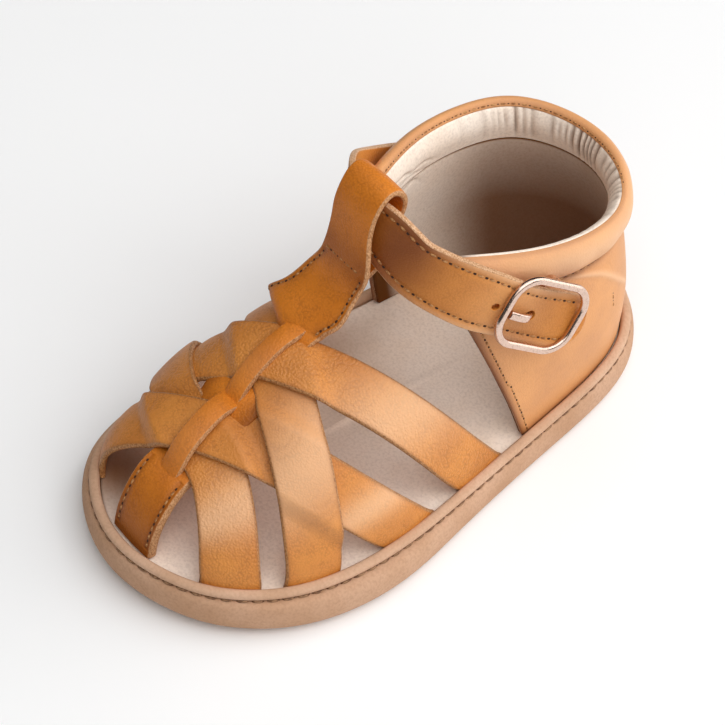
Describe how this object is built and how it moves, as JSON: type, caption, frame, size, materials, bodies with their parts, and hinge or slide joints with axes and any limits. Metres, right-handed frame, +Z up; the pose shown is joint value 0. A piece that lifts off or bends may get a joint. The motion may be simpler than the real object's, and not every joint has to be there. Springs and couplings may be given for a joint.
{
  "type": "closed-toe sandal",
  "caption": "Small child's closed-toe leather sandal, left foot: woven vamp straps, T-bar with loop, buckled ankle strap, padded heel collar, soft cupped sole with stitched lip.",
  "frame": {"origin": "on the ground, under the middle of the sandal's box", "axes": "+Z up, toe towards -Y, heel towards +Y, outer side of the foot with the buckle towards +X"},
  "size_m": [0.0697, 0.1354, 0.0769],
  "materials": {
    "tan_leather": "soft full-grain leather, satin, edges raw",
    "taupe_sole": "matte, napped, faintly speckled",
    "pale_welt": "matte, lighter than the sole",
    "pale_lining": "matte pale lining leather",
    "pale_metal": "pale rose-silver, polished"
  },
  "bodies": {
    "root": {"outsole": "taupe_sole", "welt": "pale_welt", "insole": "pale_lining", "vamp_straps": "tan_leather", "heel_quarter": "tan_leather", "ankle_strap": "tan_leather", "buckle_frame": "pale_metal", "buckle_prong": "pale_metal"}
  },
  "joints": []
}
